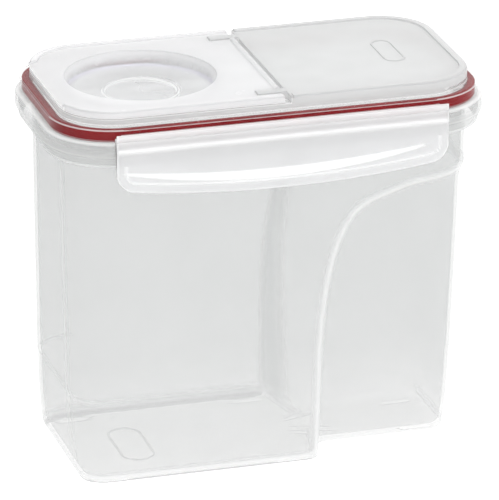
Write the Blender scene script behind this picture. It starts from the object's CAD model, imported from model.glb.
import bmesh
import bpy
import math
import numpy as np
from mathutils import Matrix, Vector
from mathutils.bvhtree import BVHTree


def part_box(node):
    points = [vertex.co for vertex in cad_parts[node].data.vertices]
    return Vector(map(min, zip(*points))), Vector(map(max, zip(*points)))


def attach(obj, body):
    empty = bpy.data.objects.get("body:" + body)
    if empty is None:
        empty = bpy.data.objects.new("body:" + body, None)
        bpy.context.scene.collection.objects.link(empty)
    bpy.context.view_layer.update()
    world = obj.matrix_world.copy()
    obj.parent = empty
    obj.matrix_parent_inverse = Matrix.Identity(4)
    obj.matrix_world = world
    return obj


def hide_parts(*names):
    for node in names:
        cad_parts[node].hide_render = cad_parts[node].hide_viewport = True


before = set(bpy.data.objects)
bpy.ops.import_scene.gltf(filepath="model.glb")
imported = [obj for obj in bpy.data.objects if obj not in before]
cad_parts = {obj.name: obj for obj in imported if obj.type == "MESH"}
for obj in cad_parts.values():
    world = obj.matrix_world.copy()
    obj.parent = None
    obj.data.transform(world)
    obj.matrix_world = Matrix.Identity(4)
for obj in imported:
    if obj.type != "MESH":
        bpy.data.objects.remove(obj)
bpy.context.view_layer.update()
MM = 0.001


def box_mm(name):
    low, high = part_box(name)
    return np.array(low) / MM, np.array(high) / MM


# ------------------------------------------------------------------ sizes in mm
# The CAD boxes give the outer sizes. Every other length is set here, in the same space.
body_high = box_mm("container_body")[1]
latch_half = box_mm("front_latch")[1][0]
seal_low, seal_high = box_mm("pour_seal")
dish_centre = Vector(((seal_low[0] + seal_high[0]) / 2, (seal_low[1] + seal_high[1]) / 2))
dish_reach, dish_ring_reach = 46.0, 22.0         # beyond the dish, and beyond its raised ring
lid_top = box_mm("flip_cap")[1][2]
deck_low, crown_low = lid_top - 1.5, lid_top - 0.9
rim_out = 9.25                                   # rim beyond the wall outline
wall_half_length = body_high[0] - rim_out        # wall outline just under the rim
wall_half_width = body_high[1] - rim_out
wall_corner = 29.0
wall = 1.8
rim_top = body_high[2]
deck_out = 1.0                                   # deck beyond the wall outline
flange_out = 6.75                                # the lid's flange beyond it
foot_height = 1.2
foot_half_length, foot_half_width, foot_corner = 10.0, 3.0, 3.0
feet = ((-90.0, 44.0), (12.0, 44.0), (92.0, 19.0))   # x, and distance from the middle line
base_half_length = wall_half_length - 2.0
base_half_width = wall_half_width - 6.0
base_corner = 20.0
base_round = 3.0
floor_top = foot_height + 2.0
floor_round = 5.0
plate_centre, plate_width, plate_length = (-68.0, 0.0), 18.0, 46.0
plate_line = 1.4                                 # width of the outline under the base
end_curve_height = 49.0
end_curve_depth = 4.5
end_out = 0.5                                    # end walls beyond the base outline
end_step, end_step_half = 0.3, 0.8               # faint step where the end curve starts
grip_ridge = ((25.3, -8.0), (28.9, 89.0), (42.3, 140.5), (69.3, 157.0), (102.3, 162.0),
              (160.0, 162.8))                    # side view of the ridge round the hand grip
ridge_lean, ridge_plane = 0.22, 52.0
lean_end, lean_fade = 102.3, 60.0                # x where the lean is gone, and its run to there
handle_inset = 1.3                               # handle's ends inside the full outline
# the handle at its foot and its top: height, half length, half width and corner
handle_low = (-10.0, base_half_length - handle_inset, 27.0, 14.0)
handle_top = (168.0, wall_half_length - handle_inset, 53.5, 26.0)
edge_blend, hollow_blend, trim_blend = 5.5, 10.0, 3.0
ridge_bead, ridge_bead_half, ridge_bead_top = 0.5, 2.4, 175.0
edge_round = 0.25                                # on the moulded edges of the lid and cap


# ------------------------------------------------------------------ form of the container
def rounded_box(x, y, half_x, half_y, corner):
    """Distance to a rounded rectangle, negative inside."""
    over_x, over_y = np.abs(x) - (half_x - corner), np.abs(y) - (half_y - corner)
    outside = np.hypot(np.maximum(over_x, 0), np.maximum(over_y, 0))
    return outside + np.minimum(np.maximum(over_x, over_y), 0) - corner


def smooth_max(a, b, blend):
    near = np.maximum(blend - np.abs(a - b), 0) / blend
    return np.maximum(a, b) + near * near * blend / 4


def smooth_min(a, b, blend):
    return -smooth_max(-a, -b, blend)


def smooth_step(low, high, value):
    t = np.clip((value - low) / (high - low), 0, 1)
    return t * t * (3 - 2 * t)


def band(value, middle, half):
    """A soft stripe, 1 at its middle."""
    return np.exp(-((value - middle) / half) ** 2)


def curve_through(points, steps):
    """A smooth curve through the points, with that many steps from each to the next."""
    p = np.array(points, float)
    p = np.vstack([2 * p[0] - p[1], p, 2 * p[-1] - p[-2]])
    t = np.linspace(0, 1, steps, endpoint=False)[:, None]
    spans = [
        0.5 * (2 * b + (c - a) * t + (2 * a - 5 * b + 4 * c - d) * t ** 2
               + (3 * b - a - 3 * c + d) * t ** 3)
        for a, b, c, d in zip(p[:-3], p[1:-2], p[2:-1], p[3:])
    ]
    return np.vstack(spans + [p[-2][None]])


ridge_line = curve_through(grip_ridge, 10)


def inside_grip(x, y, z):
    """Distance from the grip's ridge, positive on the grip's side of it."""
    lean = ridge_lean * (ridge_plane - np.abs(y)) * np.clip((lean_end - x) / lean_fade, 0, 1)
    point = np.stack([x - lean, z], -1)
    best, side = np.full(x.shape, 1e9), np.zeros(x.shape)
    for start, end in zip(ridge_line[:-1], ridge_line[1:]):
        along = end - start
        t = np.clip(((point - start) @ along) / (along @ along), 0, 1)
        off = point - start - t[..., None] * along
        gap = np.hypot(off[..., 0], off[..., 1])
        nearer = gap < best
        best = np.where(nearer, gap, best)
        side = np.where(nearer, along[1] * off[..., 0] - along[0] * off[..., 1], side)
    return best * np.sign(side)


def between(low, high, z):
    share = (z - low[0]) / (high[0] - low[0])
    return [a + (b - a) * share for a, b in zip(low[1:], high[1:])]


def outline_at(z):
    """Half length, half width and corner radius of the full outline at height z."""
    low = (foot_height, base_half_length, base_half_width, base_corner)
    top = (rim_top, wall_half_length, wall_half_width, wall_corner)
    return between(low, top, np.clip(z, foot_height, rim_top))


def end_distance(x, z):
    """Distance to the end walls, which curve inward near the base."""
    drop = np.clip((end_curve_height - z) / (end_curve_height - foot_height), 0, 1)
    step_top, step_low = end_curve_height + end_step_half, end_curve_height - end_step_half
    step = end_step * (x < 0) * smooth_step(step_top, step_low, z)
    return np.abs(x) - (base_half_length + end_out - step - end_curve_depth * drop ** 2)


def body_distance(x, y, z):
    """Distance to the container's outer wall at height z, negative inside."""
    no_end = -1e3
    full = rounded_box(x, y, *outline_at(z))
    end = np.where(z < end_curve_height + 1, end_distance(x, z), no_end)
    full = smooth_max(full, end, trim_blend)
    half_x, half_y, corner = between(handle_low, handle_top, z)
    handle = rounded_box(x, y, half_x, half_y, corner)
    handle = smooth_max(handle, end + handle_inset, trim_blend)
    grip = inside_grip(x, y, z)
    bead = ridge_bead * band(grip, -ridge_bead_half, ridge_bead_half)
    bead = bead * (z < ridge_bead_top) * (x > 0)
    return smooth_max(full - bead, smooth_min(grip, handle, hollow_blend), edge_blend)


def ring_guide(z):
    """Points near the outline at height z that place the mesh's upright lines, for y >= 0."""
    handle_limit, ridge_limit = 166.0, 62.0      # the lines stop following the form past these
    half_x, half_y, corner = outline_at(z)
    hand_x, hand_y, hand_corner = between(handle_low, handle_top, min(z, handle_limit))
    turn = np.linspace(0, np.pi / 2, 19)[:-1]
    ridge_x = min(np.interp(z, ridge_line[:, 1], ridge_line[:, 0]), ridge_limit)
    foot_x = ridge_x + ridge_lean * (ridge_plane - hand_y) + 2

    def line(start, end, count):
        return np.linspace(start, end, count, endpoint=False)

    left = np.stack([-half_x + corner - corner * np.cos(turn),
                     half_y - corner + corner * np.sin(turn)], -1)
    right = np.stack([hand_x - hand_corner + hand_corner * np.sin(turn),
                      hand_y - hand_corner + hand_corner * np.cos(turn)], -1)
    return np.vstack([
        line((-half_x, 0), (-half_x, half_y - corner), 6),
        left,
        line((-half_x + corner, half_y), (ridge_x - 9, half_y), 18),
        line((ridge_x - 9, half_y), (ridge_x, half_y - 0.5), 10),
        line((ridge_x, half_y - 0.5), (foot_x, hand_y + 1), 16),
        line((foot_x, hand_y + 1), (foot_x + 12, hand_y), 10),
        line((foot_x + 12, hand_y), (hand_x - hand_corner, hand_y), 10),
        right,
        np.linspace((hand_x, hand_y - hand_corner), (hand_x, 0), 7),
    ])


def rings(stations):
    """Closed outlines, one for each (height, distance outside the wall)."""
    nearest, furthest, halvings = 5.0, 170.0, 24
    guides = np.stack([ring_guide(z) for z, _ in stations])
    ray = guides / np.linalg.norm(guides, axis=-1, keepdims=True)
    z = np.array([s[0] for s in stations])[:, None] + np.zeros(ray.shape[:2])
    level = np.array([s[1] for s in stations])[:, None]
    near, far = np.full(z.shape, nearest), np.full(z.shape, furthest)
    for _ in range(halvings):
        middle = (near + far) / 2
        inside = body_distance(middle * ray[..., 0], middle * ray[..., 1], z) < level
        near, far = np.where(inside, middle, near), np.where(inside, far, middle)
    half = np.stack([near * ray[..., 0], near * ray[..., 1], z], -1)
    mirrored = half[:, -2:0:-1] * (1, -1, 1)
    return np.concatenate([half, mirrored], 1)


def arc(centre, radius, start, end, steps):
    """Points of an arc in a (outset, height) section, angles in degrees."""
    angles = np.radians(np.linspace(start, end, steps))
    return [(centre[0] + radius * math.cos(a), centre[1] + radius * math.sin(a)) for a in angles]


def container_stations():
    """(height, outset) of every ring from under the base, round the rim and down inside."""
    skirt, low_out = 1.9, 6.6                    # thickness of the skirt, outset of its foot
    low, full_low, plate_low, top_round = 189.5, 196.0, rim_top - 1.8, 1.7
    lump, lump_high, edge, bend, inner_round = 0.55, 1.3, 0.4, 1.0, 0.8
    outer = [(z, o) for o, z in arc((-base_round, foot_height + base_round), base_round,
                                    -90, 0, 8)]
    for start, end, count in ((6, 44, 14), (46, 52, 9), (56, 130, 22), (132, 170, 46),
                              (173, plate_low - bend, 9)):
        outer += [(z, 0.0) for z in np.linspace(start, end, count)]
    rim = arc((bend, plate_low - bend), bend, 180, 90, 5)[1:]
    rim += arc((rim_out - skirt - bend, plate_low - bend), bend, 90, 0, 5)
    rim += [(rim_out - skirt, full_low)]
    rim += arc((low_out - skirt + edge, low + edge), edge, 180, 270, 4)
    rim += arc((low_out + lump - edge, low + edge), edge, 270, 360, 4)
    rim += arc((low_out + lump - edge, low + lump_high - edge), edge, 0, 70, 4)
    rim += [(low_out + 0.15, low + 1.5), (low_out + 0.35, low + 2.0)]
    rim += [(low_out + (rim_out - low_out) * t, low + (full_low - low) * t)
            for t in (0.5, 0.75, 0.92)]
    rim += [(rim_out - 0.05, full_low + 0.3), (rim_out, full_low + 1.0)]
    rim += arc((rim_out - top_round, rim_top - top_round), top_round, 0, 90, 8)
    rim += [(4.0, rim_top)]
    rim += arc((-wall + inner_round, rim_top - inner_round), inner_round, 90, 180, 6)
    inner = []
    for start, end, count in ((198, 173, 7), (170, 132, 46), (130, 56, 22), (52, 46, 9),
                              (44, floor_top + floor_round + 1, 12)):
        inner += [(z, -wall) for z in np.linspace(start, end, count)]
    inner += [(z, o) for o, z in arc((-wall - floor_round, floor_top + floor_round), floor_round,
                                     0, -90, 9)]
    return outer + [(z, o) for o, z in rim] + inner


def closed_grid(name, loops, ends_at=None, caps=False, wrap=False, mark=None):
    """A mesh of quads between closed loops.

    Its ends shrink to a point over ends_at, are capped flat, or wrap round to each other.
    mark(points) gives each point's edge value, from -1 on a dark line to 1 on a white one.
    """
    count = loops.shape[1]
    if ends_at is not None:
        shares = np.append(np.linspace(0.98, 0.6, 24), (0.4, 0.2))
        first, last = loops[0], loops[-1]
        centre_a = np.array([*ends_at, first[0, 2]])
        centre_b = np.array([*ends_at, last[0, 2]])
        start = [centre_a + (first - centre_a) * s for s in shares[::-1]]
        stop = [centre_b + (last - centre_b) * s for s in shares]
        loops = np.concatenate([np.array(start), loops, np.array(stop)])
    n_loops = len(loops)
    verts = [tuple(v) for v in loops.reshape(-1, 3) * MM]
    faces = []
    for k in range(n_loops if wrap else n_loops - 1):
        here, there = k * count, (k + 1) % n_loops * count
        for i in range(count):
            j = (i + 1) % count
            faces.append((here + i, here + j, there + j, there + i))
    if ends_at is not None:
        verts += [tuple(centre_a * MM), tuple(centre_b * MM)]
        tip_a, tip_b, base = len(verts) - 2, len(verts) - 1, (n_loops - 1) * count
        for i in range(count):
            j = (i + 1) % count
            faces.append((j, i, tip_a))
            faces.append((base + i, base + j, tip_b))
    if caps:
        faces.append(tuple(range(count))[::-1])
        faces.append(tuple(range((n_loops - 1) * count, n_loops * count)))
    mesh = bpy.data.meshes.new(name)
    mesh.from_pydata(verts, [], faces)
    mesh.update()
    mesh.shade_smooth()
    white = np.zeros(len(verts)) if mark is None else mark(np.array(verts) / MM)
    mesh.attributes.new("edge", "FLOAT", "POINT").data.foreach_set("value",
                                                                   white.astype(np.float32))
    return mesh


def new_piece(name, mesh, mat, body, slot, *replaced):
    mesh.materials.append(mat)
    obj = bpy.data.objects.new(name, mesh)
    bpy.context.scene.collection.objects.link(obj)
    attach(obj, body)
    if replaced:
        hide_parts(*replaced)
    return obj


def slot_ring(centre, width, length):
    """Outline of a slot that is long in Y, as points round it, anticlockwise."""
    radius, reach = width / 2, (length - width) / 2
    turn = np.linspace(-np.pi / 2, np.pi / 2, 14)
    end = np.stack([-radius * np.sin(turn), reach + radius * np.cos(turn)], -1)
    return np.vstack([end, -end]) + centre


def join_meshes(name, meshes):
    """One mesh of them all, with their edge values."""
    verts, faces, marks = [], [], []
    for mesh in meshes:
        base = len(verts)
        verts += [tuple(v.co) for v in mesh.vertices]
        faces += [tuple(base + i for i in p.vertices) for p in mesh.polygons]
        marks += [m.value for m in mesh.attributes["edge"].data]
        bpy.data.meshes.remove(mesh)
    joined = bpy.data.meshes.new(name)
    joined.from_pydata(verts, [], faces)
    joined.update()
    joined.shade_smooth()
    joined.attributes.new("edge", "FLOAT", "POINT").data.foreach_set("value", marks)
    return joined


def set_on_feet(mesh):
    """Bring the underside of the base down to the floor at each low foot."""
    level_gap, slope_out, slope_in = 0.01, 1.2, -0.6
    points = np.array([v.co for v in mesh.vertices]) / MM
    x, y, z = points.T
    drop = np.zeros(len(points))
    for foot_x, foot_y in feet:
        near = rounded_box(x - foot_x, np.abs(y) - foot_y, foot_half_length, foot_half_width,
                           foot_corner)
        drop = np.maximum(drop, smooth_step(slope_out, slope_in, near))
    under = np.abs(z - foot_height) < level_gap
    points[:, 2] = np.where(under, foot_height * (1 - drop), z)
    mesh.vertices.foreach_set("co", (points * MM).ravel())
    mesh.update()


def embossed_ring(name, centre, width, length, line, low, high):
    """A thin raised outline in the shape of a slot, its section a closed rounded bar."""
    half, rise = line / 2, high - low
    section = [(half, 0), (half, rise * 0.5), (half * 0.6, rise * 0.93), (0, rise),
               (-half * 0.6, rise * 0.93), (-half, rise * 0.5), (-half, 0)]
    loops = []
    for grow, up in section:
        ring = slot_ring(centre, width + 2 * grow, length + 2 * grow)
        loops.append(np.column_stack([ring, np.full(len(ring), low + up)]))
    return closed_grid(name, np.array(loops), wrap=True)


def shell_mark(point):
    """Edge values of the shell: white ridges, fillets, rim lines and corners, darker base.

    Each stripe is a strength times a band: where its middle lies, and half its width in mm.
    """
    x, y, z = point.T
    grip = inside_grip(x, y, z)
    ridge = 0.85 * band(grip, -1.5, 2.4) * (x > 0) * smooth_step(174, 166, z)
    outside = rounded_box(x, y, *outline_at(z))
    under = z < 20
    base_edge = 0.8 * band(z, foot_height + 3.6, 1.3) * (outside > -6) * under
    base_shade = band(z, foot_height + 0.4, 1.1) * (outside > -4) * under
    floor_edge = band(z, floor_top + 2.2, 1.0) * band(outside, -wall - 2.4, 1.6) * under
    crease = 0.35 * band(z, end_curve_height, 0.8) * (x < -90)
    skirt = 0.8 * band(z, 190.3, 0.9) * (outside > 4)
    shoulder = 0.5 * band(z, 196.3, 0.9) * (outside > 6)
    top = 0.8 * smooth_step(rim_top - 1.3, rim_top - 0.2, z) * (outside > 5)
    half_x, half_y, corner = outline_at(z)
    tangent = 0.45 * band(np.abs(y), half_y - corner, 1.2) * (x < 8 - half_x) * (z < 188)
    parts = (ridge, base_edge, floor_edge, crease, skirt, shoulder, top, tangent)
    return np.clip(np.max(np.stack(parts), 0) - 0.8 * base_shade, -1, 1)


def container(mat):
    """The canister's one closed wall, with the outline raised under its base."""
    shell = closed_grid("shell", rings(container_stations())[:, ::-1], ends_at=(0.0, 0.0),
                        mark=shell_mark)
    set_on_feet(shell)
    plate = embossed_ring("plate", plate_centre, plate_width, plate_length, plate_line,
                          foot_height + 0.1, foot_height - 0.5)
    new_piece("canister_shell", join_meshes("canister_shell", [shell, plate]), mat,
              "container", "body_plastic", "container_body")


# ------------------------------------------------------------------ lid and cap
def in_dish(edge):
    """Whether an edge lies under the deck, inside the pour mouth or the cap's dish."""
    x, y, z = (edge.verts[0].co + edge.verts[1].co) / 2 / MM
    return z < deck_low and (Vector((x, y)) - dish_centre).length < dish_reach


def face_mark(face):
    """Edge value of a face on the dish's ring, the flange's fillet or the crown, or None."""
    x, y, z = face.calc_center_median() / MM
    outset = rounded_box(x, y, wall_half_length, wall_half_width, wall_corner)
    tilt = face.normal.z
    if (Vector((x, y)) - dish_centre).length < dish_ring_reach and 0.1 < abs(tilt) < 0.97:
        return 0.65
    if outset > flange_out - 1.5 and 0.25 < tilt < 0.6:
        return 1.0
    if z > crown_low and outset > deck_out - 1.0 and 0.1 < tilt < 0.97:
        return -0.4
    return None


def softened(name, mat, body, slot, node_name):
    """A copy of a CAD piece whose moulded edges are rounded.

    A corner that the rounding throws off the piece is brought back onto its surface.
    """
    weld, flat_angle, edge_angle, shading_angle = 2e-6, 2.0, 38.0, 40.0
    stray_gap, narrow = 0.3 * edge_round * MM, 0.4 * MM
    deck_mark, other_mark = -0.5, 0.7
    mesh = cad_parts[node_name].data.copy()
    mesh.name = name
    mesh.materials.clear()
    work = bmesh.new()
    work.from_mesh(mesh)
    bmesh.ops.remove_doubles(work, verts=work.verts, dist=weld)
    bmesh.ops.dissolve_limit(work, angle_limit=math.radians(flat_angle), verts=work.verts,
                             edges=work.edges, delimit={"NORMAL"})
    surface = BVHTree.FromBMesh(work)
    mark = work.faces.layers.float.new("edge")
    sharp = [e for e in work.edges
             if e.is_manifold and e.calc_face_angle() > math.radians(edge_angle)
             and not in_dish(e)]
    rounding = bmesh.ops.bevel(work, geom=sharp, offset=edge_round * MM, offset_type="OFFSET",
                               segments=2, profile=0.5, affect="EDGES")
    for vert in work.verts:
        place, _, _, gap = surface.find_nearest(vert.co)
        if gap > stray_gap:
            vert.co = place
    for face in rounding["faces"]:
        strip_width = 2 * face.calc_area() / face.calc_perimeter()
        on_deck = face.calc_center_median().z / MM > deck_low
        if strip_width < narrow:
            face[mark] = deck_mark if on_deck else other_mark
    for face in work.faces:
        value = face_mark(face)
        if value is not None:
            face[mark] = value
    work.to_mesh(mesh)
    work.free()
    mesh.shade_smooth()
    mesh.set_sharp_from_angle(angle=math.radians(shading_angle))
    obj = new_piece(name, mesh, mat, body, slot, node_name)
    even = obj.modifiers.new("even_shading", "WEIGHTED_NORMAL")
    even.keep_sharp = True


# ------------------------------------------------------------------ latches
latch_plate = 1.7
barrel_radius, rod_hole = 2.35, 1.38
hinge_y, hinge_z = -67.05, 207.5
latch_face = hinge_y - barrel_radius
latch_corner = 11.0
latch_low, latch_bow = 171.8, 4.8                # lower edge at the middle, its rise to the ends
frame_half_height = 30.0                         # the outline reaches past the latch's top
hold_centre, hold_half = -4.0, 84.0              # finger hold, along the latch
hold_low, hold_rise = 180.3, 7.2                 # its height at the middle, its rise to the ends
hold_thin, hold_thicker = 0.35, 2.0              # half of its thickness, more at the middle
ridge_height, crease_height, face_top = 199.9, 205.5, 206.2
bead_inset, bead_half = 5.0, 80.0
catch_height, catch_half = 187.4, 70.2


def latch_bottom(x):
    """Height of the latch's lower edge: bowed, with rounded corners."""
    almost_all = 0.9999                          # of the corner's turn, so its end isn't upright
    x = np.minimum(np.abs(x), latch_half)
    straight = latch_half - latch_corner
    bowed = latch_low + latch_bow * (np.minimum(x, straight) / straight) ** 2
    over = np.clip((x - straight) / latch_corner, 0, 1)
    return bowed + latch_corner * (1 - np.sqrt(1 - over ** 2 * almost_all))


def latch_frame(x, z):
    """Distance inside the latch's lower outline."""
    rise = latch_bow * np.clip(np.abs(x) / (latch_half - latch_corner), 0, 1) ** 2
    middle = latch_low + frame_half_height
    return -rounded_box(x, z - rise - middle, latch_half, frame_half_height, latch_corner)


def crescent(x):
    """Middle height and half thickness of the finger hold's bright lower face."""
    share = np.clip(np.abs(x - hold_centre) / hold_half, 0, 1)
    return hold_low + hold_rise * share ** 2, hold_thin + hold_thicker * (1 - share ** 2)


def latch_relief(x, z):
    """How far the latch's face stands out from its plane."""
    lip_out, scoop_in, ridge_out, crease_in, bead_out, edge_in = 1.25, 0.7, 0.75, 0.45, 0.4, 0.25
    scoop_top = 197.0
    middle, half = crescent(x)
    fade = np.sqrt(np.clip(1 - ((x - hold_centre) / (hold_half + 2)) ** 2, 0, 1))
    lip = smooth_step(middle + half, middle - half, z)
    scoop = smooth_step(scoop_top, middle + half, z) * (1 - lip)
    edge = latch_frame(x, z)
    bead = band(edge, bead_inset, 0.45) * smooth_step(196.0, 190.0, z)
    rim = smooth_step(0.0, 0.9, edge)
    return (fade * (lip_out * lip - scoop_in * scoop) + ridge_out * band(z, ridge_height, 1.3)
            - crease_in * band(z, crease_height, 0.35) + bead_out * bead - edge_in * (1 - rim))


def latch_mark(point):
    """Where the latch looks white: its lip, ridge, finger hold, bead and outline."""
    x, _, z = point.T
    middle, half = crescent(x)
    hold = smooth_step(half + 0.5, half - 0.3, np.abs(z - middle))
    hold = hold * (np.abs(x - hold_centre) < hold_half)
    edge = latch_frame(x, z)
    lip = 0.25 * smooth_step(205.3, 206.3, z)
    ridge = band(z, ridge_height, 1.25)
    bead = 0.9 * band(edge, bead_inset, 0.55) * (z < 192)
    outline = 0.7 * smooth_step(1.1, 0.2, edge)
    crease = 1 - band(z, crease_height - 0.1, 0.45)
    return np.clip(np.max(np.stack((hold, lip, ridge, bead, outline)), 0), 0, 1) * crease


def latch_rows(x):
    """Heights of the mesh rows down the latch's face at x, following its features."""
    least_gap = 0.02
    bottom = latch_bottom(x)
    middle, half = crescent(x)
    bead = latch_bottom(min(abs(x), bead_half)) + bead_inset
    keys = [face_top, crease_height - 0.5, ridge_height + 1.7, ridge_height - 1.7, 195.0,
            middle + half + 1.0, middle + half, middle - half, middle - half - 1.0,
            bead + 0.8, bead - 0.8, bottom + 0.9, bottom]
    counts = [7, 3, 12, 4, 9, 3, 12, 3, 3, 8, 3, 5]
    for i in range(len(keys) - 1, 0, -1):
        keys[i - 1] = max(keys[i - 1], keys[i] + least_gap)
    rows = []
    for high, low, count in zip(keys[:-1], keys[1:], counts):
        rows += list(np.linspace(high, low, count, endpoint=False))
    return np.array(rows + [bottom])


def latch_section(x):
    """Closed section of the latch at x: round the clip, down the face, up the inside."""
    hinge = (hinge_y, hinge_z)
    rows = latch_rows(x)
    out = latch_relief(np.full(rows.shape, x), rows)
    face = np.column_stack([latch_face - out, rows])
    foot_round = 0.3 * (1 - smooth_step(0.0, 0.8, rows - rows[-1]))
    catch = 0.6 * (abs(x) < catch_half) * smooth_step(1.3, 0.8, np.abs(rows - catch_height))
    inside = np.column_stack([latch_face + latch_plate - out + catch - foot_round, rows])
    keep = rows[::-1] < hinge_z - barrel_radius - 0.2
    section = np.vstack([arc(hinge, barrel_radius, 128, 178, 9), face, inside[::-1][keep],
                         arc(hinge, barrel_radius, 292, 338, 8),
                         arc(hinge, rod_hole, 340, 130, 18)])
    return np.column_stack([np.full(len(section), x), section])


def pulled_in(section, amount):
    """A closed (x, y, z) section moved inward in its own plane by the amount."""
    along = np.roll(section, -1, 0)[:, 1:] - np.roll(section, 1, 0)[:, 1:]
    along /= np.maximum(np.linalg.norm(along, axis=1, keepdims=True), 1e-9)
    moved = section.copy()
    moved[:, 1] -= amount * along[:, 1]
    moved[:, 2] += amount * along[:, 0]
    return moved


def latch(name, mat, side, body, node_name):
    """The front latch's lever for side 1, and its mirror image at the back for side -1."""
    edge = 0.4
    right = [(x, 0.0) for x in np.linspace(0, bead_half, 46)]
    right += [(x, 0.0) for x in np.linspace(bead_half + 1.5, latch_half - edge, 12)]
    right += [(latch_half - edge + edge * math.sin(a), edge * (1 - math.cos(a)))
              for a in np.radians((30, 60, 90))]
    columns = [(-x, inset) for x, inset in right[::-1]] + right[1:]
    loops = np.array([pulled_in(latch_section(x), inset) for x, inset in columns])
    loops[..., 1] *= side
    mesh = closed_grid(name, loops if side > 0 else loops[::-1], caps=True, mark=latch_mark)
    new_piece(name, mesh, mat, body, "latch_plastic", node_name)


# ------------------------------------------------------------------ node helpers
def new_material(name):
    mat = bpy.data.materials.new(name)
    mat.use_nodes = True
    mat.node_tree.nodes.clear()
    return mat, mat.node_tree.nodes, mat.node_tree.links


def node(nodes, kind, **values):
    made = nodes.new(kind)
    for key, value in values.items():
        if key in made.inputs:
            made.inputs[key].default_value = value
        else:
            setattr(made, key, value)
    return made


def feed(links, value, socket):
    """Set the socket to a number, or link an output to it."""
    if isinstance(value, (int, float)):
        socket.default_value = value
    else:
        links.new(value, socket)


def ramp(nodes, links, value, low, high, start=0.0, end=1.0):
    """The value's run from start to end, mapped to run from low to high."""
    made = node(nodes, "ShaderNodeMapRange")
    made.inputs["From Min"].default_value = start
    made.inputs["From Max"].default_value = end
    made.inputs["To Min"].default_value = low
    made.inputs["To Max"].default_value = high
    links.new(value, made.inputs["Value"])
    return made.outputs["Result"]


def noise(nodes, links, scale, low, high):
    """Noise in the piece's own space, mapped to run from low to high."""
    coord = node(nodes, "ShaderNodeTexCoord")
    texture = node(nodes, "ShaderNodeTexNoise", Scale=scale, Detail=3.0, Roughness=0.55)
    links.new(coord.outputs["Object"], texture.inputs["Vector"])
    return ramp(nodes, links, texture.outputs["Fac"], low, high, 0.3, 0.7)


def bump(nodes, links, height, distance):
    made = node(nodes, "ShaderNodeBump", Strength=1.0, Distance=distance)
    links.new(height, made.inputs["Height"])
    return made.outputs["Normal"]


def math_node(nodes, links, operation, first, second):
    made = node(nodes, "ShaderNodeMath", operation=operation)
    feed(links, first, made.inputs[0])
    feed(links, second, made.inputs[1])
    return made.outputs[0]


def mixed(nodes, links, share, first, second):
    """Two shaders mixed, the share being how much of the second."""
    made = node(nodes, "ShaderNodeMixShader")
    feed(links, share, made.inputs["Fac"])
    links.new(first, made.inputs[1])
    links.new(second, made.inputs[2])
    return made.outputs[0]


def coloured(nodes, links, share, first, second):
    """A colour that goes from the first to the second with the share."""
    made = node(nodes, "ShaderNodeMix", data_type="RGBA")
    links.new(share, made.inputs[0])
    made.inputs[6].default_value = (*first, 1.0)
    made.inputs[7].default_value = (*second, 1.0)
    return made.outputs[2]


# ------------------------------------------------------------------ materials
ripple = 0.00003                                 # height of the uneven moulded surface, in m
ripple_scale, milk_scale, gloss_scale = 28.0, 9.0, 60.0
dark_line, white_line = (0.45, 0.45, 0.46, 1.0), (0.97, 0.975, 0.975, 1.0)
base_tint, full_tint_height = (0.955, 0.955, 0.955), 0.07


def soft_scatter(nodes, links, edge, milk_colour, normal):
    """Milk in the plastic: light scattered back and onward, coloured by the edge value."""
    colour = node(nodes, "ShaderNodeValToRGB")
    stops = colour.color_ramp.elements
    stops[0].color, stops[1].color = dark_line, white_line
    stops.new(0.5).color = (*milk_colour, 1.0)
    links.new(ramp(nodes, links, edge, 0.0, 1.0, -1.0, 1.0), colour.inputs[0])
    backward = node(nodes, "ShaderNodeBsdfDiffuse", Roughness=0.6)
    onward = node(nodes, "ShaderNodeBsdfTranslucent")
    for shader in (backward, onward):
        links.new(normal, shader.inputs["Normal"])
        links.new(colour.outputs["Color"], shader.inputs["Color"])
    return mixed(nodes, links, 0.5, backward.outputs[0], onward.outputs[0])


def clear_plastic(name, tint, milk, milk_colour, edge_milk, roughness, gloss, clearer=None):
    """Thin milky plastic: tinted see-through, a share of soft white scatter, and gloss on top.

    Its moulded edges scatter more light, and its tint is paler near the base. From the second
    height of clearer down to the first, the milk fades to clearer's last value, a share of
    itself.
    """
    mat, nodes, links = new_material(name)
    uneven = bump(nodes, links, noise(nodes, links, ripple_scale, 0.0, 1.0), ripple)
    edge = node(nodes, "ShaderNodeAttribute", attribute_name="edge").outputs["Fac"]
    place = node(nodes, "ShaderNodeTexCoord")
    split = node(nodes, "ShaderNodeSeparateXYZ")
    links.new(place.outputs["Object"], split.inputs[0])
    height = split.outputs["Z"]
    through = node(nodes, "ShaderNodeBsdfTransparent")
    paler = ramp(nodes, links, height, 0.0, 1.0, 0.0, full_tint_height)
    links.new(coloured(nodes, links, paler, base_tint, tint), through.inputs["Color"])
    share = noise(nodes, links, milk_scale, milk * 0.85, milk * 1.15)
    if clearer is not None:
        low, high, least = clearer
        fade = ramp(nodes, links, height, least, 1.0, low * MM, high * MM)
        share = math_node(nodes, links, "MULTIPLY", share, fade)
    line = math_node(nodes, links, "ABSOLUTE", edge, 0.0)
    share = math_node(nodes, links, "ADD", share, ramp(nodes, links, line, 0.0, edge_milk))
    milky = soft_scatter(nodes, links, edge, milk_colour, uneven)
    body = mixed(nodes, links, share, through.outputs[0], milky)
    shine = node(nodes, "ShaderNodeBsdfGlossy", Color=(1.0, 1.0, 1.0, 1.0))
    links.new(noise(nodes, links, gloss_scale, roughness * 0.7, roughness * 1.4),
              shine.inputs["Roughness"])
    links.new(uneven, shine.inputs["Normal"])
    facing = node(nodes, "ShaderNodeLayerWeight", Blend=0.5)
    grazing = math_node(nodes, links, "POWER", facing.outputs["Facing"], 5.0)
    surface = mixed(nodes, links, ramp(nodes, links, grazing, *gloss), body, shine.outputs[0])
    out = node(nodes, "ShaderNodeOutputMaterial")
    links.new(surface, out.inputs["Surface"])
    return mat


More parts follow.
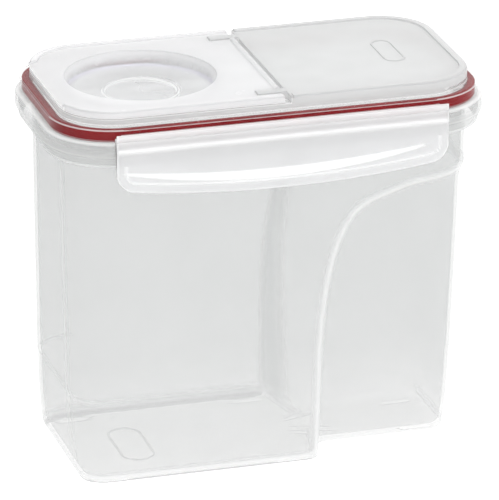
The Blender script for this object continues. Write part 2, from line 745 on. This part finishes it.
def rubber(name, dark, light, roughness, specular):
    """Soft seal: a slightly uneven colour, satin gloss and a fine moulded grain."""
    grain = 0.00002
    mat, nodes, links = new_material(name)
    shader = node(nodes, "ShaderNodeBsdfPrincipled", IOR=1.5)
    shader.inputs["Specular IOR Level"].default_value = specular
    links.new(coloured(nodes, links, noise(nodes, links, 40.0, 0.0, 1.0), dark, light),
              shader.inputs["Base Color"])
    links.new(noise(nodes, links, 300.0, roughness * 0.8, roughness * 1.2),
              shader.inputs["Roughness"])
    links.new(bump(nodes, links, noise(nodes, links, 1500.0, 0.0, 1.0), grain),
              shader.inputs["Normal"])
    out = node(nodes, "ShaderNodeOutputMaterial")
    links.new(shader.outputs[0], out.inputs["Surface"])
    return mat


# clearer is in mm: the lower height, the upper height, and the share of milk left
body_plastic = clear_plastic(
    "body_milky_plastic", tint=(0.916, 0.9195, 0.918), milk=0.18,
    milk_colour=(0.75, 0.755, 0.753), edge_milk=0.6, roughness=0.12, gloss=(0.02, 0.07),
    clearer=(0.0, 30.0, 0.6))
lid_plastic = clear_plastic(
    "lid_frosted_plastic", tint=(0.975, 0.975, 0.975), milk=0.75,
    milk_colour=(0.78, 0.785, 0.785), edge_milk=0.55, roughness=0.14, gloss=(0.006, 0.3),
    clearer=(211.2, 212.8, 0.008))
cap_plastic = clear_plastic(
    "cap_frosted_plastic", tint=(0.965, 0.965, 0.967), milk=0.6,
    milk_colour=(0.93, 0.93, 0.935), edge_milk=0.5, roughness=0.2, gloss=(0.02, 0.25),
    clearer=(209.0, 216.0, 0.45))
latch_plastic = clear_plastic(
    "latch_clear_plastic", tint=(0.975, 0.975, 0.98), milk=0.4,
    milk_colour=(0.95, 0.95, 0.955), edge_milk=0.5, roughness=0.07, gloss=(0.03, 0.3))
red_rubber = rubber("red_seal_rubber", (0.18, 0.001, 0.004), (0.25, 0.002, 0.006), 0.45, 0.15)
pale_rubber = rubber("pale_seal_rubber", (0.60, 0.58, 0.72), (0.72, 0.70, 0.82), 0.4, 0.5)


def dress(name, mat):
    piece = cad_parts[name]
    piece.data.materials.clear()
    piece.data.materials.append(mat)


dress("lid_gasket", red_rubber)
dress("pour_seal", pale_rubber)
softened("lid_shell", lid_plastic, "lid", "lid_plastic", "lid_panel")
softened("flip_cap_shell", cap_plastic, "pour_cap", "lid_plastic", "flip_cap")
container(body_plastic)
latch("front_latch_lever", latch_plastic, 1, "front_clip", "front_latch")
latch("back_latch_lever", latch_plastic, -1, "back_clip", "back_latch")


# ------------------------------------------------------------------ floor, light and camera
def floor():
    """A wide pale floor that glows a little, so it stays white."""
    half, grey, glow_strength = 6.0, (0.15, 0.15, 0.15, 1.0), 1.0
    mat, nodes, links = new_material("studio_floor")
    paper = node(nodes, "ShaderNodeBsdfDiffuse", Color=grey)
    glow = node(nodes, "ShaderNodeEmission", Strength=glow_strength)
    shader = node(nodes, "ShaderNodeAddShader")
    links.new(paper.outputs[0], shader.inputs[0])
    links.new(glow.outputs[0], shader.inputs[1])
    out = node(nodes, "ShaderNodeOutputMaterial")
    links.new(shader.outputs[0], out.inputs["Surface"])
    mesh = bpy.data.meshes.new("studio_floor")
    mesh.from_pydata([(-half, -half, 0), (half, -half, 0), (half, half, 0), (-half, half, 0)],
                     [], [(0, 1, 2, 3)])
    mesh.materials.append(mat)
    obj = bpy.data.objects.new("studio_floor", mesh)
    bpy.context.scene.collection.objects.link(obj)


def sky(scene):
    """White light all round, dimmer from the sides than from above."""
    side_strength, top_strength, side_rise, top_rise = 0.45, 0.95, 0.1, 0.6
    scene.world = scene.world or bpy.data.worlds.new("studio")
    scene.world.use_nodes = True
    nodes, links = scene.world.node_tree.nodes, scene.world.node_tree.links
    background = nodes["Background"]
    background.inputs["Color"].default_value = (1, 1, 1, 1)
    direction = node(nodes, "ShaderNodeTexCoord")
    split = node(nodes, "ShaderNodeSeparateXYZ")
    links.new(direction.outputs["Generated"], split.inputs[0])
    links.new(ramp(nodes, links, split.outputs["Z"], side_strength, top_strength, side_rise,
                   top_rise), background.inputs["Strength"])


def area_light(name, place, size, power):
    """A rectangular light, aimed at the middle of the object."""
    aim = Vector((0, 0, 0.1))
    data = bpy.data.lights.new(name, "AREA")
    data.shape = "RECTANGLE"
    data.size, data.size_y = size
    data.energy = power
    obj = bpy.data.objects.new(name, data)
    obj.location = place
    obj.rotation_euler = (aim - Vector(place)).to_track_quat("-Z", "Y").to_euler()
    bpy.context.scene.collection.objects.link(obj)


def camera(scene):
    """A long lens, a little to the left of square on and looking down."""
    azimuth, elevation, away = math.radians(-16.4), math.radians(21.0), 3.13
    aim = Vector((0.0006, -0.0008, 0.1096))
    back = Vector((math.sin(azimuth) * math.cos(elevation),
                   -math.cos(azimuth) * math.cos(elevation), math.sin(elevation)))
    data = bpy.data.cameras.new("camera")
    data.sensor_width, data.lens = 36.0, 407.5
    data.clip_start, data.clip_end = 0.1, 50.0
    obj = bpy.data.objects.new("camera", data)
    obj.location = aim + away * back
    obj.rotation_euler = (-back).to_track_quat("-Z", "Y").to_euler()
    scene.collection.objects.link(obj)
    scene.camera = obj


floor()
sky(bpy.context.scene)
area_light("top_softbox", (0.1, -0.15, 1.5), (1.2, 0.5), 8)
area_light("front_softbox", (0.2, -2.2, 0.9), (1.6, 1.0), 16)
area_light("left_softbox", (-1.1, -1.3, 0.9), (0.8, 0.8), 2.5)
area_light("right_softbox", (1.3, -0.8, 0.8), (0.5, 0.9), 5)
area_light("back_softbox", (0.0, 1.1, 1.6), (1.6, 0.5), 4)
camera(bpy.context.scene)
bpy.context.scene.view_settings.view_transform = "Standard"
bpy.context.scene.cycles.max_bounces = 6
bpy.context.scene.cycles.transparent_max_bounces = 28
bpy.context.scene.cycles.caustics_reflective = False
bpy.context.scene.cycles.caustics_refractive = False
